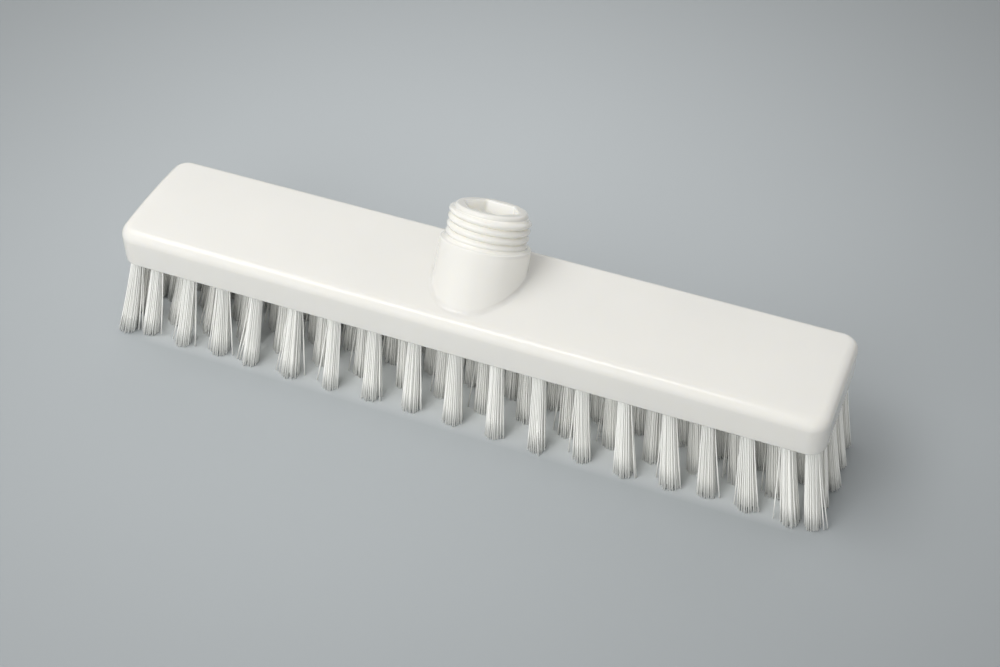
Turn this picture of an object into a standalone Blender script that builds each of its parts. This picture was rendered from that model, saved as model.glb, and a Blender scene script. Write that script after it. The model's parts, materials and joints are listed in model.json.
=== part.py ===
"""A deck brush: a moulded block with a leaning, threaded handle spigot, over fanned columns of tufts.

Metres, +Z up. The bristle tips stand on z = 0, and the origin is under the middle of the bounding box.
+X runs along the block and +Y is the way that the spigot leans.
"""

import math

import bmesh
import bpy
import numpy as np
from mathutils import Matrix, Vector

# Block
BLOCK_LENGTH = 0.300
BLOCK_WIDTH = 0.055
BLOCK_EDGE_HEIGHT = 0.0166
BLOCK_CROWN = 0.0015
CORNER_RADIUS = 0.0074
TOP_EDGE_RADIUS = 0.0047
BOTTOM_EDGE_RADIUS = 0.0010

# Handle spigot: a thread on a collar that stands close to the back edge of the block
SPIGOT_TILT = math.radians(27.5)
THREAD_DIAMETER = 0.0334
THREAD_LENGTH = 0.0137
LEAD_IN_LENGTH = 0.0022
LEAD_IN_WIDTH = 0.00175
SHOULDER_WIDTH = 0.00175
SHOULDER_ROUNDING = 0.0004
COLLAR_SIDE_DRAFT = math.radians(0.5)
COLLAR_FRONT_DRAFT = math.radians(8.0)
COLLAR_BACK_WALL = 0.0029
COLLAR_BACK_LAND = 0.0024
FOOT_FILLET = 0.0018

# Hexagonal bore for the handle
BORE_ACROSS_FLATS = 0.0205
BORE_FLOOR = 0.0093
BORE_MOUTH_CHAMFER = 0.0004

# Where the tufts stand. Spaces between columns close up towards the ends, as shares of a middle space.
TUFT_ROWS = 5
ROW_INSET = 0.0061
END_INSET = 0.0053
MIDDLE_SPACES = 5
OUTER_SPACES = 3
OUTER_SPACE_SHARE = 0.873
END_SPACE_SHARE = 0.532

# Tufts
BRISTLE_LENGTH = 0.042
FAN_HEIGHT_ALONG = 0.808
FAN_HEIGHT_ACROSS = 0.420
STRANDS_ROUND_TUFT = 4
STRAND_ROOT_RADIUS = 0.00062
STRAND_TIP_RADIUS = 0.00095
STRAND_ROOT_GAP = 0.00016
TIP_RING_RADIUS = 0.0030
STRAND_EMBEDMENT = 0.0015
TRIM_ALLOWANCE = 0.0005
TIP_SCATTER = 0.0008
SCATTER_STRIDE = 0.618
TUFT_TURN = math.radians(37)

# Slice of backing that carries a column of tufts, and the seat for it in the block
SLICE_WALL = 0.0005
SLICE_THICKNESS = 0.0040
SEAT_CLEARANCE = 0.0003

# Fineness of the mesh
ROUND_SIDES = 64
CROWN_STRIPS = 6
CORNER_STEPS = 6
FILLET_STEPS = 4
SLICE_CORNER_STEPS = 2
STRAND_SIDES = 3
SMOOTH_ANGLE = math.radians(35)

# Depths that only make a cut or a union clean
OVERCUT = 0.002
FOOT_ROOT = 0.006
FOOT_SINK = 0.00015

# Sizes that follow from those above. Distances named AT are measured up the spigot's axis from where it
# meets the level of the block's highest point.
BLOCK_HEIGHT = BLOCK_EDGE_HEIGHT + BLOCK_CROWN
THREAD_RADIUS = THREAD_DIAMETER / 2
RIM_RADIUS = THREAD_RADIUS - LEAD_IN_WIDTH
COLLAR_RADIUS = THREAD_RADIUS + SHOULDER_WIDTH
SPIGOT_SETBACK = BLOCK_WIDTH / 2 - COLLAR_BACK_LAND - COLLAR_RADIUS / math.cos(SPIGOT_TILT)
SHOULDER_AT = COLLAR_RADIUS * math.tan(SPIGOT_TILT) + COLLAR_BACK_WALL
RIM_AT = SHOULDER_AT + THREAD_LENGTH
BORE_FLAT_RADIUS = BORE_ACROSS_FLATS / 2
BORE_CORNER_RADIUS = BORE_FLAT_RADIUS / math.cos(math.pi / 6)
BORE_BOTTOM_DROP = BLOCK_HEIGHT - BORE_FLOOR - BORE_FLAT_RADIUS * math.sin(SPIGOT_TILT)
BORE_BOTTOM_AT = -BORE_BOTTOM_DROP / math.cos(SPIGOT_TILT)
ROOT_RING_RADIUS = 2 * STRAND_ROOT_RADIUS + STRAND_ROOT_GAP
TUFT_ROOT_RADIUS = ROOT_RING_RADIUS + STRAND_ROOT_RADIUS
SLICE_HALF_WIDTH = TUFT_ROOT_RADIUS + SLICE_WALL

PALE_PLASTIC = (0.84, 0.83, 0.79, 1.0)
PALE_FIBRE = (0.76, 0.76, 0.74, 1.0)


# Scene, materials and small tools


def clear_scene():
    """Remove every object that the scene starts with."""
    for thing in list(bpy.data.objects):
        bpy.data.objects.remove(thing, do_unlink=True)


def new_collection(name):
    """Make a collection inside the scene's own."""
    collection = bpy.data.collections.new(name)
    bpy.context.scene.collection.children.link(collection)
    return collection


def new_material(name, colour, roughness):
    """Make a plastic with one colour and one roughness."""
    material = bpy.data.materials.new(name)
    material.use_nodes = True
    shader = material.node_tree.nodes["Principled BSDF"]
    shader.inputs["Base Color"].default_value = colour
    shader.inputs["Roughness"].default_value = roughness
    shader.inputs["Metallic"].default_value = 0.0
    return material


def new_object(name, bm, collection, frame, material=None):
    """Turn a bmesh into an object in its collection, held by the brush's frame."""
    mesh = bpy.data.meshes.new(name)
    bm.to_mesh(mesh)
    bm.free()
    mesh.shade_smooth()
    mesh.set_sharp_from_angle(angle=SMOOTH_ANGLE)
    if material:
        mesh.materials.append(material)
    thing = bpy.data.objects.new(name, mesh)
    thing.parent = frame
    collection.objects.link(thing)
    return thing


def make_helper(thing):
    """Keep a cutter or a joined shape out of the finished part."""
    thing.hide_render = True
    thing.display_type = "WIRE"


def add_boolean(thing, operation, other):
    """Join or cut a piece with a helper object."""
    modifier = thing.modifiers.new(f"{operation.lower()} {other.name}", "BOOLEAN")
    modifier.operation = operation
    modifier.solver = "EXACT"
    modifier.object = other
    make_helper(other)


def upright_edges(bm):
    """The edges of a prism that run straight up."""
    found = []
    for edge in bm.edges:
        along = edge.verts[1].co - edge.verts[0].co
        if abs(along.z) > 0.999 * along.length:
            found.append(edge)
    return found


def round_edges(bm, edges, radius, steps):
    """Bevel edges to a round of the given radius."""
    bmesh.ops.bevel(
        bm, geom=edges, offset=radius, offset_type="OFFSET", segments=steps, profile=0.5, affect="EDGES"
    )


def loft(rings):
    """Skin closed rings of equal point counts, in order, and cap both ends."""
    bm = bmesh.new()
    loops = [[bm.verts.new(point) for point in ring] for ring in rings]
    for lower, upper in zip(loops, loops[1:]):
        for here, after in zip(range(len(lower)), np.roll(range(len(lower)), -1)):
            bm.faces.new((lower[here], lower[after], upper[after], upper[here]))
    bm.faces.new(loops[0])
    bm.faces.new(loops[-1])
    bmesh.ops.recalc_face_normals(bm, faces=bm.faces)
    return bm


# Block


def top_height(across):
    """Height of the block's top over its underside: a crown, falling away in the rounded long edges."""
    half_width = BLOCK_WIDTH / 2
    crown = BLOCK_EDGE_HEIGHT + BLOCK_CROWN * (1 - (across / half_width) ** 2)
    into_round = np.clip(np.abs(across) - (half_width - TOP_EDGE_RADIUS), 0, TOP_EDGE_RADIUS)
    return crown - (TOP_EDGE_RADIUS - np.sqrt(TOP_EDGE_RADIUS**2 - into_round**2))


def block_mesh():
    """A crowned bar with rounded corners: the section across the brush, drawn out along its length."""
    bm = bmesh.new()
    half_width = BLOCK_WIDTH / 2
    crown_reach = half_width - CORNER_RADIUS - TOP_EDGE_RADIUS / 2
    steps = np.linspace(crown_reach, -crown_reach, CROWN_STRIPS + 1)
    crown = [(across, top_height(across)) for across in steps]
    section = [(-half_width, 0), (half_width, 0), (half_width, BLOCK_EDGE_HEIGHT)]
    section += crown + [(-half_width, BLOCK_EDGE_HEIGHT)]
    outline = [bm.verts.new((-BLOCK_LENGTH / 2, across, height)) for across, height in section]
    face = bm.faces.new(outline)
    drawn = bmesh.ops.extrude_face_region(bm, geom=[face], use_keep_orig=True)
    moved = [item for item in drawn["geom"] if isinstance(item, bmesh.types.BMVert)]
    bmesh.ops.translate(bm, verts=moved, vec=(BLOCK_LENGTH, 0, 0))
    bmesh.ops.recalc_face_normals(bm, faces=bm.faces)
    round_edges(bm, upright_edges(bm), CORNER_RADIUS, CORNER_STEPS)
    under = [edge for edge in bm.edges if edge_is_rim(edge, -1)]
    round_edges(bm, under, BOTTOM_EDGE_RADIUS, FILLET_STEPS // 2)
    over = [edge for edge in bm.edges if edge_is_rim(edge, 1)]
    round_edges(bm, over, TOP_EDGE_RADIUS, FILLET_STEPS)
    return bm


def edge_is_rim(edge, side):
    """Whether an edge parts a wall from the top (side 1) or from the underside (side -1)."""
    tilts = sorted(side * face.normal.z for face in edge.link_faces)
    return abs(tilts[0]) < 0.1 and tilts[1] > 0.9


# Handle spigot


def spigot_points(distances, radii, angles):
    """Points round the spigot's axis, in the block's space. Angle 0 is +X and 90 degrees is its back."""
    sideways = radii * np.cos(angles)
    backward = radii * np.sin(angles)
    lean, rise = math.sin(SPIGOT_TILT), math.cos(SPIGOT_TILT)
    return np.stack(
        [
            sideways + 0 * distances,
            SPIGOT_SETBACK + distances * lean + backward * rise,
            BLOCK_HEIGHT + distances * rise - backward * lean,
        ],
        axis=-1,
    )


def collar_radius(distances, angles):
    """The collar spreads by its draft from the shoulder down to the block, most of all at its front."""
    towards_front = np.clip(-np.sin(angles), 0, 1) ** 2
    draft = COLLAR_SIDE_DRAFT + (COLLAR_FRONT_DRAFT - COLLAR_SIDE_DRAFT) * towards_front
    return COLLAR_RADIUS + (SHOULDER_AT - distances) * np.tan(draft)


def foot_distances(angles):
    """Where the collar's wall runs into the top of the block, found by steps along the wall."""
    distances = np.zeros_like(angles)
    for _ in range(30):
        points = spigot_points(distances, collar_radius(distances, angles), angles)
        distances = distances + (top_height(points[:, 1]) - points[:, 2]) / math.cos(SPIGOT_TILT)
    return distances


def collar_mesh():
    """The plain collar: a round shoulder lofted down to an oblique, filleted foot on the crowned top."""
    angles = np.linspace(0, 2 * math.pi, ROUND_SIDES, endpoint=False)
    foot_at = foot_distances(angles)
    room = SHOULDER_AT - SHOULDER_ROUNDING - foot_at
    fillet = np.minimum(FOOT_FILLET, 0.8 * room)
    corner = spigot_points(foot_at, collar_radius(foot_at, angles), angles)
    wall_radius = collar_radius(foot_at + fillet, angles)
    on_wall = spigot_points(foot_at + fillet, wall_radius, angles)

    outward = np.stack([np.cos(angles), np.sin(angles) * math.cos(SPIGOT_TILT)], axis=-1)
    outward /= np.linalg.norm(outward, axis=-1, keepdims=True)
    on_block = corner.copy()
    on_block[:, :2] += outward * fillet[:, None]
    on_block[:, 2] = top_height(on_block[:, 1]) - FOOT_SINK

    root = on_block.copy()
    root[:, 2] = BLOCK_HEIGHT - FOOT_ROOT
    rings = [root]
    for share in np.linspace(0, 1, FILLET_STEPS + 1):
        rings.append((1 - share) ** 2 * on_block + 2 * share * (1 - share) * corner + share**2 * on_wall)
    for below, inside in ((SHOULDER_ROUNDING, 0), (0, SHOULDER_ROUNDING)):
        distance = np.full(ROUND_SIDES, SHOULDER_AT - below)
        rings.append(spigot_points(distance, collar_radius(distance, angles) - inside, angles))
    return loft(rings)


def thread_mesh():
    """Profile of the threaded end at its crest size, from the rim down: lead-in, then the plain envelope."""
    bm = bmesh.new()
    profile = [
        (0, RIM_AT),
        (RIM_RADIUS, RIM_AT),
        (THREAD_RADIUS, RIM_AT - LEAD_IN_LENGTH),
        (THREAD_RADIUS, SHOULDER_AT - OVERCUT),
        (0, SHOULDER_AT - OVERCUT),
    ]
    points = [bm.verts.new((radius, 0, distance)) for radius, distance in profile]
    for start, end in zip(points, points[1:]):
        bm.edges.new((start, end))
    return bm


def turn(thing):
    """Revolve a profile about the object's own Z axis."""
    screw = thing.modifiers.new("turn", "SCREW")
    screw.axis = "Z"
    screw.angle = 2 * math.pi
    screw.steps = ROUND_SIDES
    screw.render_steps = ROUND_SIDES
    screw.use_merge_vertices = True
    screw.merge_threshold = 0.00001
    screw.use_smooth_shade = True


def bore_mesh():
    """A blind hexagonal hole with corners at the sides."""
    bm = bmesh.new()
    top = RIM_AT + OVERCUT
    place = Matrix.Translation((0, 0, (top + BORE_BOTTOM_AT) / 2)) @ Matrix.Rotation(math.pi / 2, 4, "Z")
    bmesh.ops.create_cone(
        bm,
        cap_ends=True,
        segments=6,
        radius1=BORE_CORNER_RADIUS,
        radius2=BORE_CORNER_RADIUS,
        depth=top - BORE_BOTTOM_AT,
        matrix=place,
    )
    return bm


def bore_mouth_mesh():
    """A 45 degree countersink that runs out on the flats of the bore."""
    bm = bmesh.new()
    mouth = BORE_CORNER_RADIUS + BORE_MOUTH_CHAMFER
    narrow = BORE_FLAT_RADIUS - BORE_MOUTH_CHAMFER
    depth = OVERCUT + mouth - narrow
    place = Matrix.Translation((0, 0, RIM_AT + OVERCUT - depth / 2))
    bmesh.ops.create_cone(
        bm,
        cap_ends=True,
        segments=ROUND_SIDES,
        radius1=narrow,
        radius2=mouth + OVERCUT,
        depth=depth,
        matrix=place,
    )
    return bm


def stand_on_spigot_axis(thing):
    """Place a shape whose own Z axis is the spigot's axis."""
    thing.location = (0, SPIGOT_SETBACK, BRISTLE_LENGTH + BLOCK_HEIGHT)
    thing.rotation_euler = (-SPIGOT_TILT, 0, 0)


# Tufts


def row_positions():
    """Y of each row of tufts, from the front."""
    outer = BLOCK_WIDTH / 2 - ROW_INSET
    return np.linspace(-outer, outer, TUFT_ROWS)


def tuft_columns():
    """(x, rows) of every column, from left to right.

    Columns of the front, middle and back rows alternate with columns of the rows between them, and the end
    column holds every row.
    """
    spaces = [1.0] * MIDDLE_SPACES + [OUTER_SPACE_SHARE] * OUTER_SPACES + [END_SPACE_SHARE]
    reach = BLOCK_LENGTH / 2 - END_INSET
    *inner, end = reach * np.cumsum([0.0] + spaces) / sum(spaces)
    all_rows = list(range(TUFT_ROWS))
    columns = [(0.0, all_rows[0::2])]
    for before, after in zip(inner, inner[1:]):
        columns.append(((before + after) / 2, all_rows[1::2]))
        columns.append((after, all_rows[0::2]))
    columns.append((end, all_rows))
    return [(-along, rows) for along, rows in reversed(columns[1:])] + columns


def add_rounded_bar(bm, along, rows, grow, bottom, top):
    """A bar across the brush under a column of tufts, from bottom to top, larger all round by grow."""
    across = row_positions()[rows]
    width = 2 * (SLICE_HALF_WIDTH + grow)
    length = across[-1] - across[0] + width
    middle = Vector((along, (across[0] + across[-1]) / 2, (bottom + top) / 2))
    place = Matrix.Translation(middle) @ Matrix.Diagonal((width, length, top - bottom, 1))
    bar = bmesh.new()
    bmesh.ops.create_cube(bar, size=1, matrix=place)
    round_edges(bar, upright_edges(bar), TUFT_ROOT_RADIUS + grow, SLICE_CORNER_STEPS)
    made = bpy.data.meshes.new("bar")
    bar.to_mesh(made)
    bar.free()
    bm.from_mesh(made)
    bpy.data.meshes.remove(made)


def add_strand(bm, root, tip, spin):
    """A straight strand from root to tip: a bundle of filaments that opens a little on its way down."""
    along = tip - root
    turned = along.to_track_quat("Z", "Y").to_matrix().to_4x4() @ Matrix.Rotation(spin, 4, "Z")
    bmesh.ops.create_cone(
        bm,
        cap_ends=True,
        segments=STRAND_SIDES,
        radius1=STRAND_ROOT_RADIUS,
        radius2=STRAND_TIP_RADIUS,
        depth=along.length,
        matrix=Matrix.Translation((root + tip) / 2) @ turned,
    )


def add_tuft(bm, along, across, phase, side, count):
    """One strand in the middle and a ring of strands round it, all opening towards the tips."""
    tip_along = along * (1 + BRISTLE_LENGTH / FAN_HEIGHT_ALONG)
    tip_across = across * (1 + BRISTLE_LENGTH / FAN_HEIGHT_ACROSS)
    for index in range(STRANDS_ROUND_TUFT + 1):
        angle = phase + 2 * math.pi * index / STRANDS_ROUND_TUFT
        ring = min(index, 1)
        step = Vector((side * math.cos(angle), math.sin(angle), 0)) * ring
        scatter = ((count + index) * SCATTER_STRIDE % 1 - 0.5) * 2 * TIP_SCATTER
        mouth = Vector((along, across, 0)) + step * ROOT_RING_RADIUS
        tip = Vector((tip_along, tip_across, -BRISTLE_LENGTH)) + step * TIP_RING_RADIUS
        slope = (tip - mouth) / BRISTLE_LENGTH
        root = mouth - slope * STRAND_EMBEDMENT
        tip += slope * (TRIM_ALLOWANCE + scatter)
        add_strand(bm, root, tip, angle)


def trim_tips(bm):
    """Cut the strands off level at the floor, as the tufts are trimmed after filling."""
    geometry = bm.verts[:] + bm.edges[:] + bm.faces[:]
    bmesh.ops.bisect_plane(
        bm, geom=geometry, plane_co=(0, 0, -BRISTLE_LENGTH), plane_no=(0, 0, -1), clear_outer=True
    )
    open_edges = [edge for edge in bm.edges if edge.is_boundary]
    bmesh.ops.holes_fill(bm, edges=open_edges, sides=0)
    bmesh.ops.recalc_face_normals(bm, faces=bm.faces)


def strands_mesh(along, rows, columns_out):
    """All strands of the column that is so many columns out from the middle one.

    The left half of the brush mirrors the right half.
    """
    bm = bmesh.new()
    side = -1 if along < 0 else 1
    for row in rows:
        across = row_positions()[row]
        count = columns_out * TUFT_ROWS + row
        add_tuft(bm, along, across, TUFT_TURN * count, side, count * (STRANDS_ROUND_TUFT + 1))
    trim_tips(bm)
    bmesh.ops.translate(bm, verts=bm.verts, vec=(-along, 0, 0))
    return bm


def slice_mesh(rows):
    """The slice of backing that holds a column's roots, flush with the underside of the block."""
    bm = bmesh.new()
    add_rounded_bar(bm, 0.0, rows, 0.0, 0.0, SLICE_THICKNESS)
    return bm


def seats_mesh(columns):
    """Every seat for a slice, as one cutter."""
    bm = bmesh.new()
    for along, rows in columns:
        add_rounded_bar(bm, along, rows, SEAT_CLEARANCE, -OVERCUT, SLICE_THICKNESS + SEAT_CLEARANCE)
    return bm


# Assembly


def middle_of_depth():
    """Y of the bounding box's middle: the spigot reaches out behind the block."""
    lean, rise = math.sin(SPIGOT_TILT), math.cos(SPIGOT_TILT)
    crest_back = SPIGOT_SETBACK + (RIM_AT - LEAD_IN_LENGTH) * lean + THREAD_RADIUS * rise
    rim_back = SPIGOT_SETBACK + RIM_AT * lean + RIM_RADIUS * rise
    back = max(crest_back, rim_back, BLOCK_WIDTH / 2)
    return (back - BLOCK_WIDTH / 2) / 2


def build_block(parts, helpers, frame, plastic, columns):
    """The block and its spigot, one moulding."""
    block = new_object("block", block_mesh(), parts, frame, plastic)
    block.location.z = BRISTLE_LENGTH
    collar = new_object("spigot_collar", collar_mesh(), helpers, frame)
    collar.location.z = BRISTLE_LENGTH
    thread = new_object("spigot_thread", thread_mesh(), helpers, frame)
    turn(thread)
    stand_on_spigot_axis(thread)
    bore = new_object("bore", bore_mesh(), helpers, frame)
    stand_on_spigot_axis(bore)
    mouth = new_object("bore_mouth", bore_mouth_mesh(), helpers, frame)
    stand_on_spigot_axis(mouth)
    seats = new_object("seats", seats_mesh(columns), helpers, frame)
    seats.location.z = BRISTLE_LENGTH
    add_boolean(block, "DIFFERENCE", seats)
    add_boolean(block, "UNION", collar)
    add_boolean(block, "UNION", thread)
    add_boolean(block, "DIFFERENCE", bore)
    add_boolean(block, "DIFFERENCE", mouth)


def build_tuft_columns(parts, helpers, frame, fibre, columns):
    """One piece for each column of tufts across the brush, numbered from left to right."""
    middle = (len(columns) + 1) // 2
    for number, (along, rows) in enumerate(columns, start=1):
        column = new_object(f"tuft_column_{number:02d}", slice_mesh(rows), parts, frame, fibre)
        shape = strands_mesh(along, rows, abs(number - middle))
        strands = new_object(f"strands_{number:02d}", shape, helpers, frame)
        for thing in (column, strands):
            thing.location = (along, 0, BRISTLE_LENGTH)
        add_boolean(column, "UNION", strands)


def build():
    """Build the whole brush."""
    clear_scene()
    parts = new_collection("Deck brush")
    helpers = new_collection("Cutters and joined shapes")
    frame = bpy.data.objects.new("brush_frame", None)
    frame.location.y = -middle_of_depth()
    parts.objects.link(frame)
    plastic = new_material("moulded plastic", PALE_PLASTIC, 0.3)
    fibre = new_material("bristle fibre", PALE_FIBRE, 0.5)
    columns = tuft_columns()
    build_block(parts, helpers, frame, plastic, columns)
    build_tuft_columns(parts, helpers, frame, fibre, columns)


build()
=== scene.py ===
"""The looks of a deck brush: a glossy moulded block with its spigot, and 93 tufts of fine filaments.

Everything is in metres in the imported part's frame. The bristle tips stand on z = 0, +X runs along the block,
+Y is the way that the handle spigot leans, and +Z is up. Angles round the spigot start at +X and turn
towards +Y, so its front is at 270 degrees.
"""

import json
import logging
import math
from dataclasses import dataclass, field
from enum import Enum
from functools import cache

import bpy
import numpy as np
from mathutils import Matrix, Vector
from mathutils.geometry import delaunay_2d_cdt
from numpy.typing import NDArray

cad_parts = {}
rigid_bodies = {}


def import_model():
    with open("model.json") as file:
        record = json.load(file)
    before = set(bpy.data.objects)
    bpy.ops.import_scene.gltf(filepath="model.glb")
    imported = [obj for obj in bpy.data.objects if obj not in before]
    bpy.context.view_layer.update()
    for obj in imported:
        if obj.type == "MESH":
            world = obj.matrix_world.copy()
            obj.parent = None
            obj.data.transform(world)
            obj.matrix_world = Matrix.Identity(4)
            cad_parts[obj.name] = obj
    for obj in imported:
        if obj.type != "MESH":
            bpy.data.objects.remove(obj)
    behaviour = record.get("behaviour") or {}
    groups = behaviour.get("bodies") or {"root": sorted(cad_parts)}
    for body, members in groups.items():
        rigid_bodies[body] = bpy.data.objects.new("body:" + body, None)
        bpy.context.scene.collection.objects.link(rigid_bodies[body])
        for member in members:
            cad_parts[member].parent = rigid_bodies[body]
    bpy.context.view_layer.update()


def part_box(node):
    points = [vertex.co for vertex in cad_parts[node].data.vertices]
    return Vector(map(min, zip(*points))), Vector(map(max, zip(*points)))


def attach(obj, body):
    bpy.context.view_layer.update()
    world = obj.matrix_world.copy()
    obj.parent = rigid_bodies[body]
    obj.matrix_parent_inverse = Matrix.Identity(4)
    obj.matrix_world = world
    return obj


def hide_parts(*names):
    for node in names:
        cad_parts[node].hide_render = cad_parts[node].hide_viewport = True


LOG = logging.getLogger("deck_brush")

Floats = NDArray[np.float64]
Whole = NDArray[np.int64]
Amount = Floats | float
Colour = tuple[float, float, float]
Node = bpy.types.Node
Socket = bpy.types.NodeSocket
Sockets = bpy.types.bpy_prop_collection
Tree = bpy.types.NodeTree
Material = bpy.types.Material
Piece = bpy.types.Object


class Slot(Enum):
    """The record's material slots."""

    MOULDING = "moulded_plastic"
    BRISTLES = "bristle_fibre"


class Channel(Enum):
    """Values that a mesh carries for its material, from 0 to 1 at each vertex."""

    EDGE = "edge"
    # Painted shade: how much darker colour stands for shade in grooves, creases and the bore.
    PAINTED_SHADE = "recess"
    # Painted light: how much lighter colour stands for light in the bore, the grooves and the collar.
    PAINTED_LIGHT = "pale"
    TINT = "tint"
    ALONG = "along"


# Mesh helpers


def ring_quads(rows: int, columns: int) -> Whole:
    """Corners of the quads between closed rings that lie one after the other.

    They face outwards where the rings come down a shape and turn anticlockwise as seen from above.

    Args:
        rows: Number of rings.
        columns: Number of points in each ring.

    Returns:
        One row of four vertex numbers for each quad.
    """
    row, column = np.meshgrid(np.arange(rows - 1), np.arange(columns), indexing="ij")
    here = row * columns + column
    beside = row * columns + (column + 1) % columns
    return np.stack([here + columns, beside + columns, beside, here], axis=-1).reshape(-1, 4)


def tube_faces(count: int, rings: int, around: int) -> list[Whole]:
    """Faces of closed tubes: quads between the rings of each one, and a flat face on both ends.

    Args:
        count: Number of tubes.
        rings: Number of rings of a tube, from its top down.
        around: Number of points in a ring.

    Returns:
        The block of quads and the block of end faces.
    """
    offset = np.arange(count)[:, None, None] * rings * around
    corners = np.arange(around)
    ends = np.stack([corners, corners[::-1] + (rings - 1) * around])
    return [(ring_quads(rings, around) + offset).reshape(-1, 4), (ends + offset).reshape(-1, around)]


def mesh_piece(name: str, points: Floats, faces: list[Whole], channels: dict[Channel, Floats]) -> Piece:
    """Make an object from whole arrays. It sits at the origin, with its place in its mesh.

    Args:
        name: Name of the piece.
        points: Vertex places, one row each.
        faces: Blocks of faces, each block with one number of corners.
        channels: Values for each vertex that the material reads.

    Returns:
        The new object, linked to the scene.
    """
    mesh = bpy.data.meshes.new(name)
    mesh.from_pydata(points.tolist(), [], [face for block in faces for face in block.tolist()])
    for channel, values in channels.items():
        attribute = mesh.attributes.new(channel.value, "FLOAT", "POINT")
        attribute.data.foreach_set("value", np.ascontiguousarray(values, np.float32).ravel())
    mesh.shade_smooth()
    piece = bpy.data.objects.new(name, mesh)
    bpy.context.scene.collection.objects.link(piece)
    return piece


def smooth_step(values: Floats) -> Floats:
    """Ease from 0 to 1: 3 t^2 - 2 t^3 with t held between 0 and 1."""
    held = np.clip(values, 0.0, 1.0)
    return held * held * (3 - 2 * held)


def shares(count: int) -> Floats:
    """Even shares of a whole, from 1 / count to 1."""
    return np.linspace(0, 1, count + 1)[1:]


# Material helpers


class Wiring:
    """A node tree with short calls for adding nodes and joining them."""

    def __init__(self, tree: Tree) -> None:
        """Keep the tree that nodes are added to."""
        self.tree = tree

    def node(self, kind: str, **settings: object) -> Node:
        """Add a node and set its properties.

        Args:
            kind: Blender's name for the kind of node.
            settings: Properties of the node.

        Returns:
            The new node.
        """
        made = self.tree.nodes.new(kind)
        for name, value in settings.items():
            setattr(made, name, value)
        return made

    def feed(self, socket: Socket, source: object) -> None:
        """Give a socket its value.

        Args:
            socket: The input to set.
            source: Another socket to join it to, or a plain value.
        """
        if isinstance(source, Socket):
            self.tree.links.new(source, socket)
        else:
            socket.default_value = source

    def maths(self, operation: str, *sources: object, clamp: bool = False) -> Socket:
        """Add a Math node.

        Args:
            operation: Name of the operation.
            sources: Its inputs, each a socket or a number.
            clamp: Whether the result is held between 0 and 1.

        Returns:
            The output socket.
        """
        made = self.node("ShaderNodeMath", operation=operation, use_clamp=clamp)
        for socket, source in zip(made.inputs, sources):
            self.feed(socket, source)
        return made.outputs[0]

    def blend(self, share: object, first: object, second: object) -> Socket:
        """Add a colour Mix node.

        Args:
            share: How much of the second colour shows.
            first: Colour or socket at share 0.
            second: Colour or socket at share 1.

        Returns:
            The output socket.
        """
        made = self.node("ShaderNodeMix", data_type="RGBA")
        for place, source in zip((0, 6, 7), (share, first, second)):
            self.feed(made.inputs[place], source)
        return made.outputs[2]

    def spread(self, value: Socket, low: object, high: object, start: float = 0, end: float = 1) -> Socket:
        """Add a Map Range node that takes low..high to start..end and holds the result there.

        Args:
            value: Socket to read.
            low: Value that gives start.
            high: Value that gives end.
            start: Result at low.
            end: Result at high.

        Returns:
            The output socket.
        """
        made = self.node("ShaderNodeMapRange", clamp=True)
        for socket, source in zip(made.inputs, (value, low, high, start, end)):
            self.feed(socket, source)
        return made.outputs[0]

    def place(self) -> Socket:
        """Read the place of a point in its object."""
        return self.node("ShaderNodeTexCoord").outputs["Object"]

    def noise(self, place: Socket, scale: object, detail: float) -> Socket:
        """Add a Noise Texture node.

        Args:
            place: Where the noise is read.
            scale: Its scale, as a socket or a number.
            detail: How many finer layers it has.

        Returns:
            The output socket.
        """
        made = self.node("ShaderNodeTexNoise")
        for name, source in (("Vector", place), ("Scale", scale), ("Detail", detail)):
            self.feed(made.inputs[name], source)
        return made.outputs["Fac"]

    def channel(self, channel: Channel) -> Socket:
        """Read one of the mesh's own values."""
        return self.node("ShaderNodeAttribute", attribute_name=channel.value).outputs["Fac"]

    def placed_group(self, tree: Tree, **values: object) -> Socket:
        """Place a shared node group with its own values.

        Args:
            tree: The group.
            values: Its inputs by name.

        Returns:
            The group's output.
        """
        made = self.node("ShaderNodeGroup", node_tree=tree)
        for name, value in values.items():
            self.feed(made.inputs[name], value)
        return made.outputs[0]


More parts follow.
